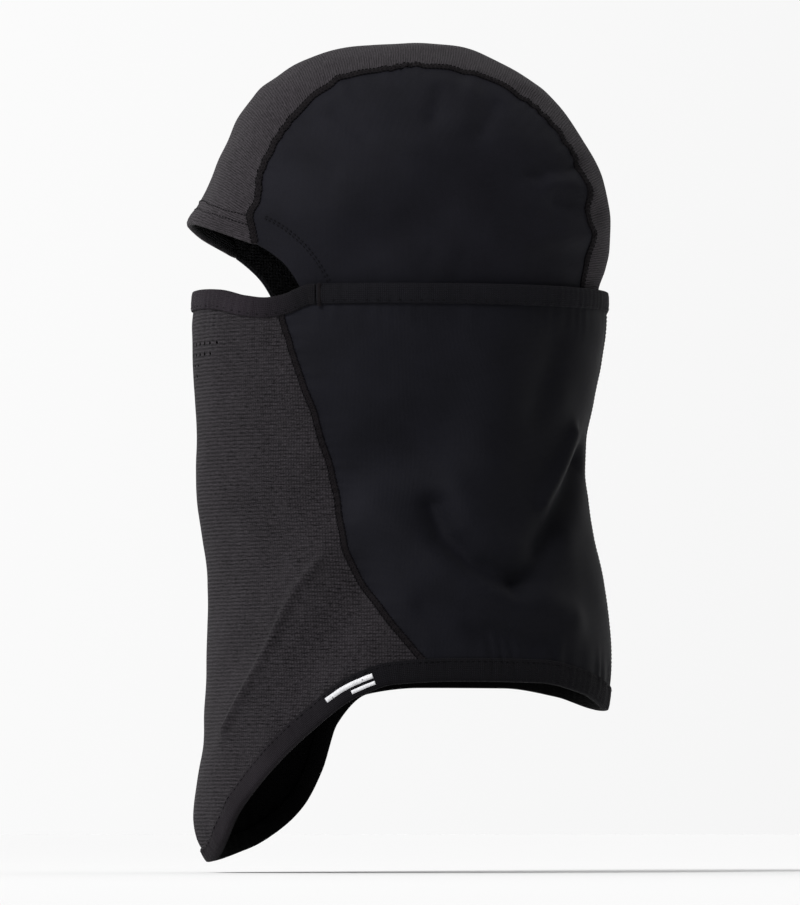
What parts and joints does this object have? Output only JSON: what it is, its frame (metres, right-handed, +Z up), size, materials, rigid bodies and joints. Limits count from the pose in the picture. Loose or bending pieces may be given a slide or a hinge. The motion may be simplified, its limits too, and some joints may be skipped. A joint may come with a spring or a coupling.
{
  "type": "hinged balaclava",
  "caption": "Knit and softshell ski hood with a seamed crown strip, a neck gaiter with a pointed bib and a drop-down mask rim over a perforated mouth area.",
  "frame": {"origin": "on the mid-plane, in the middle of the head front to back, at ear level, where the mask rim meets the collar band in height", "axes": "+Z up; the face looks along -X; +Y is the wearer's right, -Y the wearer's left"},
  "size_m": [0.2081, 0.1667, 0.4003],
  "materials": {
    "crown_knit": "heather charcoal fine-ribbed knit",
    "grid_knit": "heather charcoal grid-knit fleece",
    "softshell": "smooth matte black stretch softshell",
    "seam_thread": "black flatlock thread",
    "stitch_thread": "black cover stitch thread",
    "band_tape": "matte black elasticated binding",
    "rim_tape": "dark charcoal ribbed binding",
    "hem_tape": "black elasticated binding",
    "elastic": "black flat elastic",
    "tack_thread": "black bar tack thread",
    "reflective": "silver white reflective transfer",
    "label_satin": "blank white satin"
  },
  "bodies": {
    "hood_and_gaiter": {"crown_panel": "crown_knit", "hood_side_left": "softshell", "hood_side_right": "softshell", "crown_seam_left": "seam_thread", "crown_seam_right": "seam_thread", "brow_hem_stitch": "stitch_thread", "face_hem_stitch_left": "stitch_thread", "face_hem_stitch_right": "stitch_thread", "hood_join_stitch": "stitch_thread", "front_panel": "grid_knit", "side_panel_left": "softshell", "side_panel_right": "softshell", "front_seam_left": "seam_thread", "front_seam_right": "seam_thread", "back_seam": "seam_thread", "collar_band_binding": "band_tape", "collar_band_elastic": "elastic", "collar_band_stitch": "stitch_thread", "hem_binding": "hem_tape", "hem_stitch": "stitch_thread", "transfer_mark": "reflective", "side_tack_left": "tack_thread", "side_tack_right": "tack_thread", "care_label": "label_satin"},
    "mask_rim": {"mask_rim_binding": "rim_tape", "mask_rim_elastic": "elastic", "mask_rim_stitch": "stitch_thread"}
  },
  "joints": [
    {"name": "mask_drop", "type": "slide", "parent": "hood_and_gaiter", "child": "mask_rim", "axis": [0, 0, -1], "range_m": [0, 0.095], "deforming": ["front_panel", "side_panel_left", "side_panel_right", "front_seam_left", "front_seam_right"]}
  ]
}
